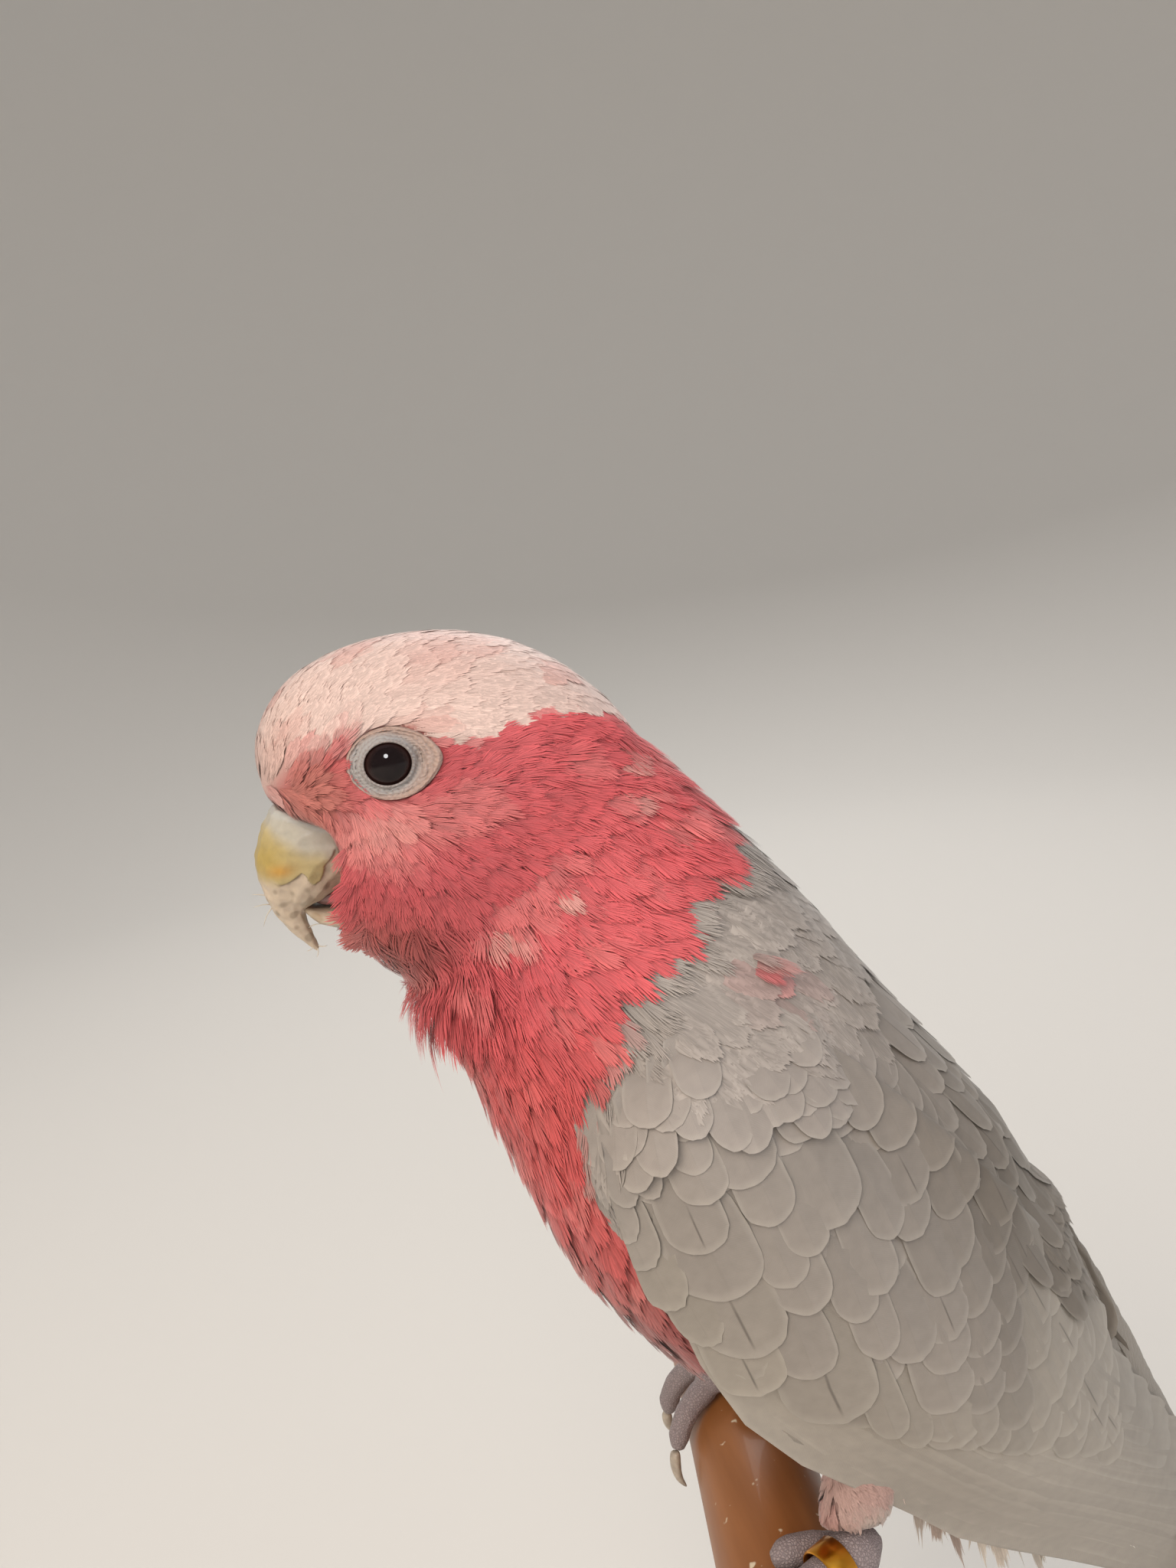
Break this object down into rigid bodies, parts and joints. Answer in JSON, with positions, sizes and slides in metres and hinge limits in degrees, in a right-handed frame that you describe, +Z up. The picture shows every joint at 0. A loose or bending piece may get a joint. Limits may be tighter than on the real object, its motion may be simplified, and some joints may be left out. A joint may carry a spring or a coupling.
{
  "type": "galah on a display perch",
  "caption": "Life-size galah gripping a short round wooden perch, held on a plain round base by a short rod.",
  "frame": {"origin": "on the stand base's flat underside, below the middle of the perch", "axes": "+Z up; the bird faces -X, its left side is -Y, and the XZ plane is its plane of symmetry"},
  "size_m": [0.2274, 0.176, 0.3661],
  "materials": {
    "plumage": "rose pink, pale pink and grey feathers",
    "horn": "dull horn, cream to grey",
    "skin": "bare scaly grey skin",
    "eye": "wet, very dark brown",
    "ring": "anodised orange yellow, glossy",
    "perch_wood": "smooth orange-brown, lightly polished",
    "stand_base": "dark satin lacquer",
    "stand_steel": "fine brushed"
  },
  "bodies": {
    "root": {"head": "plumage", "neck": "plumage", "trunk": "plumage", "tail": "plumage", "wing_left": "plumage", "wing_right": "plumage", "thigh_left": "plumage", "thigh_right": "plumage", "bill_upper": "horn", "bill_lower": "horn", "tongue": "skin", "eye_left": "eye", "eye_right": "eye", "tarsus_left": "skin", "tarsus_right": "skin", "toe_left_inner_front": "skin", "toe_left_outer_front": "skin", "toe_left_inner_back": "skin", "toe_left_outer_back": "skin", "toe_right_inner_front": "skin", "toe_right_outer_front": "skin", "toe_right_inner_back": "skin", "toe_right_outer_back": "skin", "claw_left_inner_front": "horn", "claw_left_outer_front": "horn", "claw_left_inner_back": "horn", "claw_left_outer_back": "horn", "claw_right_inner_front": "horn", "claw_right_outer_front": "horn", "claw_right_inner_back": "horn", "claw_right_outer_back": "horn", "leg_ring": "ring", "perch": "perch_wood", "stand_base": "stand_base", "stand_rod": "stand_steel", "stand_flange": "stand_steel"}
  },
  "joints": []
}
